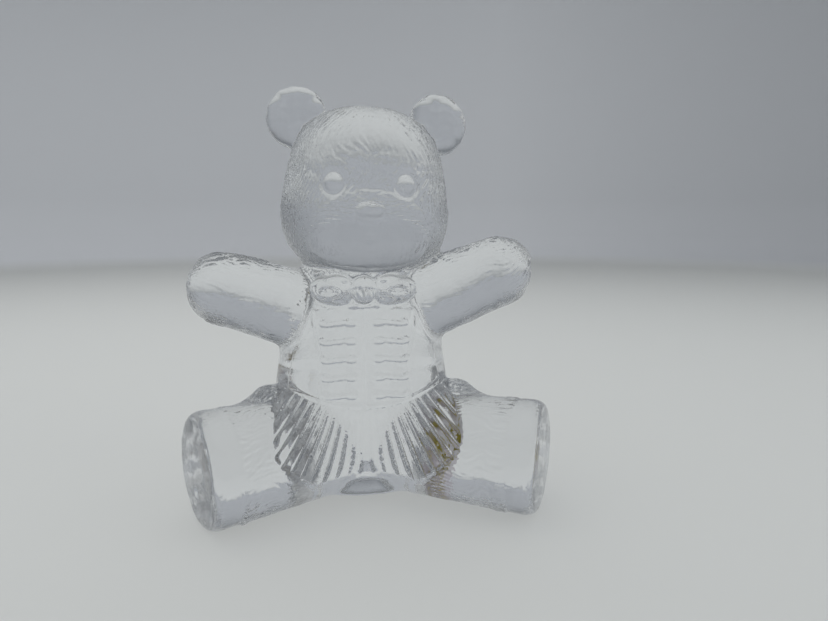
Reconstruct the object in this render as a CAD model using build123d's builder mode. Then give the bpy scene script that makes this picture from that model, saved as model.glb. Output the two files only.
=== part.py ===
"""Sitting teddy bear pressed in clear glass, with a small foil label behind its left hip.

The bear faces -Y and its left side is +X.  The origin is on the table, under the middle of the seat.
All sizes are millimetres.  Every piece is a region of the casting and meets its neighbours face to face.
"""
from build123d import *
import os
from collections import namedtuple
from math import cos, radians, sin, sqrt

os.makedirs("parts", exist_ok=True)

Level = namedtuple("Level", "height half_width half_depth")
SIDES = {"left": 1, "right": -1}

# ---------------------------------------------------------------- torso: oval levels from the seat up
seat = Level(height=0.0, half_width=22.5, half_depth=18.5)
hips = Level(height=12.0, half_width=24.6, half_depth=20.0)
waist = Level(height=28.0, half_width=23.6, half_depth=18.5)
chest = Level(height=42.0, half_width=21.4, half_depth=16.0)
shoulders = Level(height=51.0, half_width=17.4, half_depth=14.0)
neck = Level(height=60.0, half_width=15.0, half_depth=12.5)

# ---------------------------------------------------------------- head: oval levels above the neck
chin = Level(height=0.0, half_width=14.5, half_depth=12.0)
jaw = Level(height=4.5, half_width=20.0, half_depth=16.5)
cheeks = Level(height=12.5, half_width=22.0, half_depth=18.5)
brow = Level(height=21.0, half_width=20.8, half_depth=18.0)
temples = Level(height=29.5, half_width=18.8, half_depth=16.5)
forehead = Level(height=36.0, half_width=14.0, half_depth=12.5)
crown = Level(height=39.4, half_width=6.0, half_depth=5.5)
head_tilt = 1.8                 # degrees, the crown leans towards the bear's left
head_forward = 1.0              # the head sits this far in front of the neck's middle
head_aside = 1.1                # and this far towards the bear's left

ear_radius = 7.9
ear_thickness = 6.4
ear_rim_radius = 2.9
ear_dish_radius = 4.0
ear_dish_depth = 0.6
ear_spread = 18.2               # from the head's middle to an ear's middle
ear_height = 36.4               # above the chin
ear_turn = 10.0                 # degrees each ear's face turns outwards

eye_radius = 2.5
eye_spread = 8.0
eye_height = 19.4               # above the chin
eye_proud = 1.3                 # how far an eye's dome stands off the face

muzzle_half_width = 14.5
muzzle_half_depth = 8.0
muzzle_half_height = 7.4
muzzle_height = 8.4             # above the chin
muzzle_proud = 2.6              # how far the muzzle stands out beyond the cheeks

nose_half_width = 3.4
nose_half_height = 2.0
nose_proud = 0.8                # how far the nose stands out beyond the muzzle
nose_height = 12.4              # above the chin

# ---------------------------------------------------------------- arms: tapered, round-ended, held out
shoulder_height = 42.4          # where both arms' middles meet inside the torso
shoulder_radius = 11.2
hand_radius = 9.2
arm_reach = {"left": 48.6, "right": 46.4}     # from where the arms meet to the tip of each hand
arm_rise = {"left": 22.5, "right": 18.0}      # degrees above level
arm_forward = 10.0              # degrees each arm swings forwards

# ---------------------------------------------------------------- legs: splayed on the table
leg_splay = 61.0                # degrees each leg turns out from straight ahead
leg_reach = {"left": 49.5, "right": 46.0}     # from where the legs meet to the flat of each sole
leg_axis_height = 13.4
thigh_radius = 13.6
sole_radius = 14.2
sole_thickness = 3.2
sole_rim_radius = 2.2
legs_forward = 4.0              # the legs meet this far in front of the torso's middle

# ---------------------------------------------------------------- clothes, raised from the glass
vest_thickness = 0.9
vest_bottom = 24.8              # hem at the middle of the front
vest_hem_middle = 25.2          # hem halfway to the side
vest_side_bottom = 28.5         # hem at the side
vest_hem_half_width = 19.4
vest_top_half_width = 15.5
vest_top = 49.0
vest_opening = 0.6              # gap along the middle of the front

braid_thickness = 0.8
braid_width = 1.4
braid_inner = 2.4               # nearest a braid comes to the middle
braid_outer = 11.0
braid_count = 5
braid_pitch = 4.4
lowest_braid = 27.9

skirt_thickness = 0.7
skirt_hem = 7.0                 # the skirt's lower edge between the legs
skirt_hem_half_width = 13.0
skirt_side_half_width = 23.0    # the skirt spreads over the thighs as far as this
skirt_side_bottom = 18.0

pleat_thickness = 0.8
pleat_width = 1.3
pleat_count = 15
pleat_pitch = 5.6               # degrees between two pleats
pleat_fan_height = 42.0         # the pleats fan out from this height
pleat_start = 16.0              # from the fan's middle to a pleat's upper end
pleat_length = 18.0

ruff_height = 8.6
ruff_thickness = 1.3

bow_loop_half_length = 5.6
bow_loop_half_height = 3.8
bow_loop_proud = 3.0            # how far a loop stands out beyond the ruff
bow_loop_depth = 6.0            # a loop's whole depth, most of it inside the ruff
bow_knot_radius = 3.2
bow_knot_proud = 3.4
bow_height = 54.0

# ---------------------------------------------------------------- label behind the left hip
label_width = 10.0
label_height = 8.0
label_bottom = 4.0
label_turn = 39.0               # degrees the label's face turns from the bear's left towards its back
label_reach = 6.0               # how far its outline is carried in and out to meet the curved glass
backing_thickness = 0.25
foil_thickness = 0.15
foil_margin = 1.0

TORSO_LEVELS = (seat, hips, waist, chest, shoulders, neck)
HEAD_LEVELS = (chin, jaw, cheeks, brow, temples, forehead, crown)
through = 100.0                 # longer than the bear is deep, for outlines cut right through

head_frame = Plane(
    origin=(head_aside, -head_forward, neck.height),
    x_dir=(cos(radians(head_tilt)), 0, -sin(radians(head_tilt))),
    z_dir=(sin(radians(head_tilt)), 0, cos(radians(head_tilt))),
)


def keep(piece, label):
    """Name one finished piece and write it."""
    piece.label = label
    export_step(piece, f"parts/{label}.step")


def oval_form(levels, frame, growth=0.0):
    """A smooth solid through one oval per level, with every oval made larger by growth."""
    with BuildPart() as form:
        for level in levels:
            with BuildSketch(frame.offset(level.height)):
                Ellipse(level.half_width + growth, level.half_depth + growth)
        loft()
    return form.part


def front_of(level, across):
    """How far in front of its middle an oval level's surface is, at a place across it."""
    return level.half_depth * sqrt(1 - (across / level.half_width) ** 2)


def torso_level(height):
    """The torso's oval at a height between two of its levels."""
    for lower, upper in zip(TORSO_LEVELS, TORSO_LEVELS[1:]):
        if lower.height <= height <= upper.height:
            share = (height - lower.height) / (upper.height - lower.height)
            return Level(*(a + share * (b - a) for a, b in zip(lower, upper)))


def oval_ball(half_width, half_depth, half_height, seat_of_ball):
    """A ball stretched to three half sizes, moved to its place."""
    with BuildPart() as ball:
        Sphere(1.0)
        scale(by=(half_width, half_depth, half_height), about=(0, 0, 0))
    return seat_of_ball * ball.part


def limb_plane(root, turn_out, rise, side):
    """A plane whose X runs along a limb from its root, and whose Y points up from the limb."""
    level = cos(radians(rise))
    along = Vector(side * sin(radians(turn_out)) * level, -cos(radians(turn_out)) * level, sin(radians(rise)))
    return Plane(origin=root, x_dir=along, z_dir=along.cross(Vector(0, 0, 1)))


def leg_plane(side):
    """The plane of one leg."""
    return limb_plane((0, -legs_forward, leg_axis_height), leg_splay, 0, side)


def leg_form(side_name, growth=0.0):
    """One leg up to the back of its sole, cut off at the table and where the legs meet."""
    side = SIDES[side_name]
    sole_back = leg_reach[side_name] - sole_thickness
    plane = leg_plane(side)
    with BuildPart() as form:
        with BuildSketch(plane):
            Polygon(
                (0, 0),
                (sole_back, 0),
                (sole_back, sole_radius + growth),
                (0, thigh_radius + growth),
                align=None,
            )
        revolve(axis=Axis(plane.origin, plane.x_dir))
        split(bisect_by=Plane.XY, keep=Keep.TOP)
        split(bisect_by=Plane.YZ, keep=Keep.TOP if side > 0 else Keep.BOTTOM)
    return form.part


torso_form = oval_form(TORSO_LEVELS, Plane.XY)
head_form = oval_form(HEAD_LEVELS, head_frame)
vest_form = oval_form(TORSO_LEVELS, Plane.XY, vest_thickness)
braid_form = oval_form(TORSO_LEVELS, Plane.XY, vest_thickness + braid_thickness)
skirt_form = oval_form(TORSO_LEVELS, Plane.XY, skirt_thickness)
pleat_form = oval_form(TORSO_LEVELS, Plane.XY, skirt_thickness + pleat_thickness)
ruff_form = oval_form(TORSO_LEVELS, Plane.XY, ruff_thickness)
backing_form = oval_form(TORSO_LEVELS, Plane.XY, backing_thickness)
foil_form = oval_form(TORSO_LEVELS, Plane.XY, backing_thickness + foil_thickness)

# ---------------------------------------------------------------- torso and head
with BuildPart() as torso:
    add(torso_form)
keep(torso.part, "torso")

with BuildPart() as head:
    add(head_form)
    add(torso_form, mode=Mode.SUBTRACT)
keep(head.part, "head")

muzzle_middle = cheeks.half_depth + muzzle_proud - muzzle_half_depth
muzzle_seat = head_frame.location * Location((0, -muzzle_middle, muzzle_height))
muzzle_ball = oval_ball(muzzle_half_width, muzzle_half_depth, muzzle_half_height, muzzle_seat)
with BuildPart() as muzzle:
    add(muzzle_ball)
    add(head_form, mode=Mode.SUBTRACT)
    add(torso_form, mode=Mode.SUBTRACT)
keep(muzzle.part, "muzzle")

# the nose stands off the muzzle's own oval at the nose's height
nose_climb = (nose_height - muzzle_height) / muzzle_half_height
nose_front = muzzle_middle + muzzle_half_depth * sqrt(1 - nose_climb**2) + nose_proud
nose_seat = head_frame.location * Location((0, nose_half_height - nose_front, nose_height))
with BuildPart() as nose:
    add(oval_ball(nose_half_width, nose_half_height, nose_half_height, nose_seat))
    add(head_form, mode=Mode.SUBTRACT)
    add(muzzle_ball, mode=Mode.SUBTRACT)
keep(nose.part, "nose")

for side_name, side in SIDES.items():
    eye_middle = front_of(brow, eye_spread) + eye_proud - eye_radius
    eye_seat = head_frame.location * Location((side * eye_spread, -eye_middle, eye_height))
    with BuildPart() as eye:
        with Locations(eye_seat):
            Sphere(eye_radius)
        add(head_form, mode=Mode.SUBTRACT)
    keep(eye.part, f"eye_{side_name}")

    ear_middle = Location((side * ear_spread, 0, ear_height), (90, 0, side * ear_turn))
    ear_plane = Plane(head_frame.location * ear_middle)
    with BuildPart() as ear:
        with BuildSketch(ear_plane):
            Circle(ear_radius)
        extrude(amount=ear_thickness / 2, both=True)
        fillet(ear.edges().filter_by(GeomType.CIRCLE), ear_rim_radius)
        with BuildSketch(ear_plane.offset(ear_thickness / 2)):
            Circle(ear_dish_radius)
        extrude(amount=-ear_dish_depth, mode=Mode.SUBTRACT)
        add(head_form, mode=Mode.SUBTRACT)
    keep(ear.part, f"ear_{side_name}")

# ---------------------------------------------------------------- arms, legs and soles
arms = {}
legs = {}
skirt_thighs = {}
pleat_thighs = {}
for side_name, side in SIDES.items():
    reach = arm_reach[side_name]
    hand_middle = reach - hand_radius
    arm_plane = limb_plane((0, 0, shoulder_height), 90 - arm_forward, arm_rise[side_name], side)
    with BuildPart() as arm:
        with BuildSketch(arm_plane):
            with BuildLine():
                Polyline((reach, 0), (0, 0), (0, shoulder_radius), (hand_middle, hand_radius))
                TangentArc((hand_middle, hand_radius), (reach, 0), tangent=(1, 0))
            make_face()
        revolve(axis=Axis(arm_plane.origin, arm_plane.x_dir))
        add(torso_form, mode=Mode.SUBTRACT)
        add(head_form, mode=Mode.SUBTRACT)
    arms[side_name] = arm.part
    keep(arm.part, f"arm_{side_name}")

    with BuildPart() as leg:
        add(leg_form(side_name))
        add(torso_form, mode=Mode.SUBTRACT)
    legs[side_name] = leg.part
    skirt_thighs[side_name] = leg_form(side_name, skirt_thickness)
    pleat_thighs[side_name] = leg_form(side_name, skirt_thickness + pleat_thickness)
    keep(leg.part, f"leg_{side_name}")

    sole_plane = Plane(leg_plane(side).location * Location((0, 0, 0), (0, 90, 0)))
    sole_plane = sole_plane.offset(leg_reach[side_name] - sole_thickness)
    with BuildPart() as sole:
        with BuildSketch(sole_plane):
            Circle(sole_radius)
        extrude(amount=sole_thickness)
        fillet(sole.edges().sort_by_distance(sole_plane.origin)[-1], sole_rim_radius)
        split(bisect_by=Plane.XY, keep=Keep.TOP)
    keep(sole.part, f"sole_{side_name}")

# ---------------------------------------------------------------- vest fronts and their braids
vests = {}
braid_bars = {}
for side_name, side in SIDES.items():
    with BuildPart() as vest:
        with BuildSketch(Plane.XZ):
            with BuildLine():
                Polyline(
                    (side * vest_opening / 2, vest_bottom),
                    (side * vest_opening / 2, vest_top),
                    (side * vest_top_half_width, vest_top),
                    (side * vest_hem_half_width, vest_side_bottom),
                )
                ThreePointArc(
                    (side * vest_hem_half_width, vest_side_bottom),
                    (side * vest_hem_half_width / 2, vest_hem_middle),
                    (side * vest_opening / 2, vest_bottom),
                )
            make_face()
        extrude(amount=through)
        add(vest_form, mode=Mode.INTERSECT)
        add(torso_form, mode=Mode.SUBTRACT)
        add(arms[side_name], mode=Mode.SUBTRACT)
        add(legs[side_name], mode=Mode.SUBTRACT)
    vests[side_name] = vest.part
    keep(vest.part, f"vest_front_{side_name}")

    with BuildPart() as braids:
        with BuildSketch(Plane.XZ):
            for count in range(braid_count):
                with Locations((side * (braid_inner + braid_outer) / 2, lowest_braid + count * braid_pitch)):
                    SlotOverall(braid_outer - braid_inner, braid_width)
        extrude(amount=through)
        add(braid_form, mode=Mode.INTERSECT)
        add(vest_form, mode=Mode.SUBTRACT)
        add(arms[side_name], mode=Mode.SUBTRACT)
    braid_bars[side_name] = braids.part
    keep(braids.part, f"vest_braids_{side_name}")

# ---------------------------------------------------------------- skirt over the belly and the thighs
with BuildPart() as skirt_outline:
    with BuildSketch(Plane.XZ):
        Polygon(
            (-skirt_hem_half_width, skirt_hem),
            (skirt_hem_half_width, skirt_hem),
            (skirt_side_half_width, skirt_side_bottom),
            (vest_hem_half_width, vest_side_bottom),
            (0, vest_bottom),
            (-vest_hem_half_width, vest_side_bottom),
            (-skirt_side_half_width, skirt_side_bottom),
            align=None,
        )
    extrude(amount=through)

with BuildPart() as skirt_shell:
    add(skirt_form)
    for side_name in SIDES:
        add(skirt_thighs[side_name])

with BuildPart() as pleat_shell:
    add(pleat_form)
    for side_name in SIDES:
        add(pleat_thighs[side_name])

with BuildPart() as skirt:
    add(skirt_outline.part)
    add(skirt_shell.part, mode=Mode.INTERSECT)
    add(torso_form, mode=Mode.SUBTRACT)
    for side_name in SIDES:
        add(legs[side_name], mode=Mode.SUBTRACT)
        add(vests[side_name], mode=Mode.SUBTRACT)
keep(skirt.part, "skirt")

with BuildPart() as pleats:
    with BuildSketch(Plane.XZ):
        with Locations((0, pleat_fan_height)):
            with PolarLocations(
                pleat_start + pleat_length / 2,
                pleat_count,
                start_angle=-90 - pleat_pitch * (pleat_count - 1) / 2,
                angular_range=pleat_pitch * (pleat_count - 1),
                endpoint=True,
            ):
                SlotOverall(pleat_length, pleat_width)
    extrude(amount=through)
    add(skirt_outline.part, mode=Mode.INTERSECT)
    add(pleat_shell.part, mode=Mode.INTERSECT)
    add(skirt_shell.part, mode=Mode.SUBTRACT)
    for side_name in SIDES:
        add(vests[side_name], mode=Mode.SUBTRACT)
keep(pleats.part, "skirt_pleats")

# ---------------------------------------------------------------- ruff and bow at the neck
with BuildPart() as ruff:
    with BuildSketch(Plane.XY.offset(vest_top)):
        Circle(through)
    extrude(amount=ruff_height)
    add(ruff_form, mode=Mode.INTERSECT)
    add(torso_form, mode=Mode.SUBTRACT)
    add(head_form, mode=Mode.SUBTRACT)
    for side_name in SIDES:
        add(arms[side_name], mode=Mode.SUBTRACT)
        add(braid_bars[side_name], mode=Mode.SUBTRACT)
keep(ruff.part, "neck_ruff")

bow_level = torso_level(bow_height)
knot_front = bow_level.half_depth + ruff_thickness + bow_knot_proud
with BuildPart() as knot:
    with Locations((0, bow_knot_radius - knot_front, bow_height)):
        Sphere(bow_knot_radius)
    add(torso_form, mode=Mode.SUBTRACT)
    add(ruff.part, mode=Mode.SUBTRACT)
    add(head_form, mode=Mode.SUBTRACT)
    add(muzzle_ball, mode=Mode.SUBTRACT)
keep(knot.part, "bow_knot")

for side_name, side in SIDES.items():
    loop_aside = bow_loop_half_length + bow_knot_radius / 2
    loop_front = front_of(bow_level, loop_aside) + ruff_thickness + bow_loop_proud
    loop_seat = Location((side * loop_aside, bow_loop_depth / 2 - loop_front, bow_height))
    with BuildPart() as loop:
        add(oval_ball(bow_loop_half_length, bow_loop_depth / 2, bow_loop_half_height, loop_seat))
        add(torso_form, mode=Mode.SUBTRACT)
        add(ruff.part, mode=Mode.SUBTRACT)
        add(knot.part, mode=Mode.SUBTRACT)
        add(head_form, mode=Mode.SUBTRACT)
        add(muzzle_ball, mode=Mode.SUBTRACT)
        add(vests[side_name], mode=Mode.SUBTRACT)
        add(arms[side_name], mode=Mode.SUBTRACT)
    keep(loop.part, f"bow_loop_{side_name}")

# ---------------------------------------------------------------- label
# it crosses the crease where the back of the left thigh comes out of the hips
splay = radians(leg_splay)
crease_along = (hips.half_width - thigh_radius * cos(splay)) / sin(splay)
crease_back = thigh_radius * sin(splay) - legs_forward - crease_along * cos(splay)
turned = radians(label_turn)
label_plane = Plane(
    origin=(hips.half_width, crease_back, label_bottom + label_height / 2),
    x_dir=(-sin(turned), cos(turned), 0),
    z_dir=(cos(turned), sin(turned), 0),
)
backing_thigh = leg_form("left", backing_thickness)
foil_thigh = leg_form("left", backing_thickness + foil_thickness)

with BuildPart() as backing_shell:
    add(backing_form)
    add(backing_thigh)

with BuildPart() as foil_shell:
    add(foil_form)
    add(foil_thigh)

with BuildPart() as backing:
    with BuildSketch(label_plane):
        RectangleRounded(label_width, label_height, foil_margin)
    extrude(amount=label_reach, both=True)
    add(backing_shell.part, mode=Mode.INTERSECT)
    add(torso_form, mode=Mode.SUBTRACT)
    add(legs["left"], mode=Mode.SUBTRACT)
keep(backing.part, "label_backing")

with BuildPart() as foil:
    with BuildSketch(label_plane):
        Rectangle(label_width - 2 * foil_margin, label_height - 2 * foil_margin)
    extrude(amount=label_reach, both=True)
    add(foil_shell.part, mode=Mode.INTERSECT)
    add(backing_shell.part, mode=Mode.SUBTRACT)
keep(foil.part, "label_foil")
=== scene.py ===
"""A sitting teddy bear pressed in clear glass, on a pale table in soft light.

The whole casting is first made as one skin, in millimetres, and then cut into its named regions.  Where two
regions meet inside the glass their faces carry the fused seam, which light passes straight through.
"""
import math

import bpy
import numpy as np
from mathutils import Matrix, Vector


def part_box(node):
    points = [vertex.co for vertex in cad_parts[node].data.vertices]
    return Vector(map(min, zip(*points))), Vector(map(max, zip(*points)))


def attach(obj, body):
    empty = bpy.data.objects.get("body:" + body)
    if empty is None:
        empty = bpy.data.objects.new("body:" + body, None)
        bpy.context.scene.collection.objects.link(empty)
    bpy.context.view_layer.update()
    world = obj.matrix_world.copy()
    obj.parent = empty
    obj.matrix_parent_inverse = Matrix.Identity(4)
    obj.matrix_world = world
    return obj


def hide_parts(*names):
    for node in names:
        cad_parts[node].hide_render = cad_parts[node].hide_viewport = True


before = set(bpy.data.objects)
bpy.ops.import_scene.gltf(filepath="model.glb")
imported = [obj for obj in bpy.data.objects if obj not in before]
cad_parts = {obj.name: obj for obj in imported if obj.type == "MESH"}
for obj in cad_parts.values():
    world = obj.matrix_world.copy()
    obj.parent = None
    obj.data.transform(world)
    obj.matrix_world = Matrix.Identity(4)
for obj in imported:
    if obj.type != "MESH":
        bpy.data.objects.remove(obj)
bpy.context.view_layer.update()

METRES = 0.001                   # one modelling unit is a millimetre, until a piece is finished
SKIN_VOXEL = 0.34
BODY_VOXEL = 0.9
SEED = 7

# ---------------------------------------------------------------- the casting's own sizes, in millimetres
LEGS_MEET = Vector((0, -4.0, 13.4))
ARMS_MEET = Vector((0, 0, 42.4))
NECK_HEIGHT = 60.0
THIGH_RADIUS = 13.6
HIP_HALF_WIDTH = 24.6
SOLE_RADIUS = 14.2
SHOULDER_RADIUS = 11.2
HAND_RADIUS = 9.2
EYE_RADIUS = 2.5
MUZZLE_HALF_DEPTH = 8.0
MUZZLE_HALF_HEIGHT = 7.4
LOOP_HALF_DEPTH = 3.4
KNOT_HALF_DEPTH = 3.2
EAR_RADIUS = 7.9
EAR_HALF_THICKNESS = 3.2
HEAD_TILT = math.radians(1.8)
HIP_PADS = (                     # each runs the torso's side into the top of a thigh: its middle and half sizes
    ((20.5, -9.0, 21.2), (6.2, 8.5, 8.2)),
    ((27.0, -14.5, 18.4), (9.5, 9.0, 8.7)),
    ((24.0, -11.5, 22.0), (6.5, 8.5, 7.8)),
)

# clothes and fur, raised from the glass
VEST_THICKNESS = 0.9
BRAIDS = 5
LOWEST_BRAID = 27.9
BRAID_PITCH = 4.4
BRAID_THICKNESS = 0.8
SKIRT_THICKNESS = 0.7
PLEAT_THICKNESS = 0.55
PLEAT_PITCH = 5.6                # degrees
PLEAT_FAN_HEIGHT = 42.0
RUFF_THICKNESS = 1.3
BACK_THICKNESS = 0.5
HEAD_FUR = 0.60
ARM_FUR = 0.58
LEG_FUR = 0.62
FACE_FUR = 0.78
LIMB_STROKE = 4.4                # length of a stroke of fur on the limbs

SIDES = {"left": 1, "right": -1}


# ---------------------------------------------------------------- small helpers
def place(node):
    """A CAD node's lowest and highest corners in millimetres."""
    low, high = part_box(node)
    return np.array(low) / METRES, np.array(high) / METRES


def middle(node):
    """The middle of a CAD node's box in millimetres."""
    low, high = place(node)
    return Vector((low + high) / 2)


def clear_selection():
    """Leave nothing selected, as after clicking on the empty background."""
    if bpy.context.object and bpy.context.object.mode != "OBJECT":
        bpy.ops.object.mode_set(mode="OBJECT")
    bpy.ops.object.select_all(action="DESELECT")


def pick(*pieces):
    """Select these pieces, the first of them active."""
    clear_selection()
    for piece in pieces:
        piece.select_set(True)
    bpy.context.view_layer.objects.active = pieces[0]


def settle(piece):
    """Apply a piece's place, turn and size to its mesh."""
    pick(piece)
    bpy.ops.object.transform_apply(location=True, rotation=True, scale=True)
    return piece


def finish_with(piece, kind, **settings):
    """Add one modifier, set it up and apply it."""
    modifier = piece.modifiers.new(kind.title(), kind)
    for name, value in settings.items():
        setattr(modifier, name, value)
    pick(piece)
    bpy.ops.object.modifier_apply(modifier=modifier.name)
    return piece


def face_outwards(piece):
    """Turn every face of a closed form outwards."""
    pick(piece)
    bpy.ops.object.mode_set(mode="EDIT")
    bpy.ops.mesh.select_all(action="SELECT")
    bpy.ops.mesh.remove_doubles(threshold=0.01)
    bpy.ops.mesh.normals_make_consistent(inside=False)
    bpy.ops.object.mode_set(mode="OBJECT")
    return piece


def copy_of(piece, name):
    """A copy with its own mesh."""
    twin = piece.copy()
    twin.data = piece.data.copy()
    twin.name = name
    bpy.context.collection.objects.link(twin)
    return twin


def discard(*pieces):
    """Throw helper pieces away."""
    for piece in pieces:
        bpy.data.objects.remove(piece, do_unlink=True)


def points_of(piece):
    """A mesh's points and their outward directions, one row each."""
    mesh = piece.data
    points = np.empty(len(mesh.vertices) * 3)
    mesh.vertices.foreach_get("co", points)
    normals = np.empty(len(mesh.vertices) * 3)
    mesh.vertex_normals.foreach_get("vector", normals)
    return points.reshape(-1, 3), normals.reshape(-1, 3)


def move_points(piece, points):
    """Put a mesh's points at new places."""
    piece.data.vertices.foreach_set("co", points.ravel())
    piece.data.update()


# ---------------------------------------------------------------- forms
def ringed_form(name, rings):
    """A round form drawn upwards from a disc, ring by ring: each ring is height, half width, half depth."""
    height, half_width, half_depth = rings[0]
    bpy.ops.mesh.primitive_circle_add(vertices=40, radius=1.0, fill_type="NGON", location=(0, 0, height))
    form = bpy.context.object
    form.name = name
    form.scale = (half_width, half_depth, 1.0)
    settle(form)
    bpy.ops.object.mode_set(mode="EDIT")
    bpy.ops.mesh.select_all(action="SELECT")
    for (z0, w0, d0), (z1, w1, d1) in zip(rings, rings[1:]):
        bpy.ops.mesh.extrude_region_move(TRANSFORM_OT_translate={"value": (0, 0, z1 - z0)})
        bpy.ops.transform.resize(value=(w1 / w0, d1 / d0, 1.0), center_override=(0, 0, z1))
    bpy.ops.object.mode_set(mode="OBJECT")
    face_outwards(form)
    return finish_with(form, "SUBSURF", levels=2, render_levels=2)


def stood_along(form, start, direction):
    """Turn an upright form so that it runs from a point along a direction."""
    form.matrix_world = Matrix.Translation(start) @ Vector(direction).to_track_quat("Z", "Y").to_matrix().to_4x4()
    return settle(form)


def ball(name, at, half_sizes, turn=(0, 0, 0), squareness=0.0):
    """A ball stretched to three half sizes, and squared off if wanted."""
    bpy.ops.mesh.primitive_uv_sphere_add(segments=48, ring_count=24, radius=1.0, location=at, rotation=turn)
    form = bpy.context.object
    form.name = name
    if squareness:
        points, _ = points_of(form)
        move_points(form, np.sign(points) * np.abs(points) ** (1 - squareness))
    form.scale = half_sizes
    return settle(form)


def block(name, low, high):
    """A block between two corners, used to cut with."""
    low, high = Vector(low), Vector(high)
    bpy.ops.mesh.primitive_cube_add(size=1.0, location=(low + high) / 2)
    form = bpy.context.object
    form.name = name
    form.scale = high - low
    return settle(form)


def rod(name, start, end, radius):
    """A plain rod between two points, used to cut with."""
    start, end = Vector(start), Vector(end)
    bpy.ops.mesh.primitive_cylinder_add(vertices=64, radius=radius, depth=(end - start).length)
    form = bpy.context.object
    form.name = name
    form.location = (start + end) / 2
    form.rotation_euler = (end - start).to_track_quat("Z", "Y").to_euler()
    return settle(form)


def joined(name, *forms):
    """Several forms as one mesh."""
    pick(*forms)
    bpy.ops.object.join()
    forms[0].name = name
    return forms[0]


def melted(form, voxel, smoothing):
    """Overlapping forms run together into one closed skin, with its creases softened."""
    finish_with(form, "REMESH", mode="VOXEL", voxel_size=voxel, adaptivity=0.0, use_smooth_shade=True)
    return finish_with(form, "SMOOTH", factor=0.5, iterations=smoothing)


def cut(piece, cutter, name):
    """Cut out what lies inside the cutter.  Returns the part cut out; the piece keeps the rest."""
    inside = copy_of(piece, name)
    for part, operation in ((inside, "INTERSECT"), (piece, "DIFFERENCE")):
        finish_with(part, "BOOLEAN", operation=operation, object=cutter, solver="MANIFOLD", material_mode="TRANSFER")
    discard(cutter)
    return inside


# ---------------------------------------------------------------- frame of each limb and of the head
HEAD_LOW, HEAD_HIGH = place("head")
HEAD_MIDDLE = middle("head")
HEAD_SEAT = Vector((HEAD_MIDDLE.x - 0.6, HEAD_MIDDLE.y, NECK_HEIGHT))
HEAD_TURN = Matrix.Rotation(HEAD_TILT, 4, "Y")
HEAD_HALF_WIDTH = (HEAD_HIGH[0] - HEAD_LOW[0]) / 2
HEAD_HALF_DEPTH = (HEAD_HIGH[1] - HEAD_LOW[1]) / 2
HEAD_HEIGHT = HEAD_HIGH[2] - NECK_HEIGHT

TORSO_LOW, TORSO_HIGH = place("torso")
TORSO_HALF_WIDTH = (TORSO_HIGH[0] - TORSO_LOW[0]) / 2
TORSO_HALF_DEPTH = (TORSO_HIGH[1] - TORSO_LOW[1]) / 2
TORSO_HEIGHT = TORSO_HIGH[2]


def hand_of(side_name):
    """The middle of a round hand."""
    low, high = place(f"arm_{side_name}")
    outer = high[0] - HAND_RADIUS if SIDES[side_name] > 0 else low[0] + HAND_RADIUS
    return Vector((outer, low[1] + HAND_RADIUS, high[2] - HAND_RADIUS))


def sole_of(side_name):
    """The middle of a sole's flat face, and the way the leg points."""
    at = middle(f"sole_{side_name}")
    at.z = LEGS_MEET.z
    along = (at - LEGS_MEET).normalized()
    return at + along * 1.6, along


# share of the height, of the half width and of the half depth
TORSO_RINGS = (
    (0.0, 0.90, 0.92), (0.05, 0.945, 0.96), (0.2, 1.0, 1.0), (0.34, 0.99, 0.97), (0.47, 0.955, 0.92),
    (0.6, 0.905, 0.85), (0.7, 0.865, 0.79), (0.79, 0.78, 0.73), (0.86, 0.71, 0.69), (0.94, 0.65, 0.66),
    (1.06, 0.60, 0.63),
)
HEAD_RINGS = (
    (-0.06, 0.62, 0.60), (0.0, 0.70, 0.68), (0.05, 0.82, 0.80), (0.12, 0.915, 0.90), (0.2, 0.975, 0.965),
    (0.3, 1.0, 1.0), (0.36, 0.985, 0.995), (0.46, 0.96, 0.985), (0.6, 0.915, 0.955), (0.74, 0.86, 0.90),
    (0.84, 0.775, 0.80), (0.92, 0.62, 0.65), (0.97, 0.44, 0.46), (1.0, 0.20, 0.21),
)


def torso_form(name, growth=0.0):
    """The torso as stacked ovals."""
    return ringed_form(name, [
        (share * TORSO_HEIGHT, wide * TORSO_HALF_WIDTH + growth, deep * TORSO_HALF_DEPTH + growth)
        for share, wide, deep in TORSO_RINGS
    ])


def head_form(name, growth=0.0):
    """The head as stacked ovals, leaning a little."""
    form = ringed_form(name, [
        (share * (HEAD_HEIGHT + growth), wide * HEAD_HALF_WIDTH + growth, deep * HEAD_HALF_DEPTH + growth)
        for share, wide, deep in HEAD_RINGS
    ])
    form.matrix_world = Matrix.Translation(HEAD_SEAT) @ HEAD_TURN
    return settle(form)


def arm_form(side_name, growth=0.0):
    """A tapered arm with a round hand."""
    hand = hand_of(side_name)
    length = (hand - ARMS_MEET).length
    rings = [(0.0, SHOULDER_RADIUS + growth, SHOULDER_RADIUS + growth)]
    rings.append((length * 0.5, 10.2 + growth, 10.2 + growth))
    for step in range(0, 86, 17):
        turn = math.radians(step)
        radius = (HAND_RADIUS + growth) * math.cos(turn)
        rings.append((length + (HAND_RADIUS + growth) * math.sin(turn), radius, radius))
    return stood_along(ringed_form(f"arm_{side_name}_form", rings), ARMS_MEET, hand - ARMS_MEET)


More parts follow.
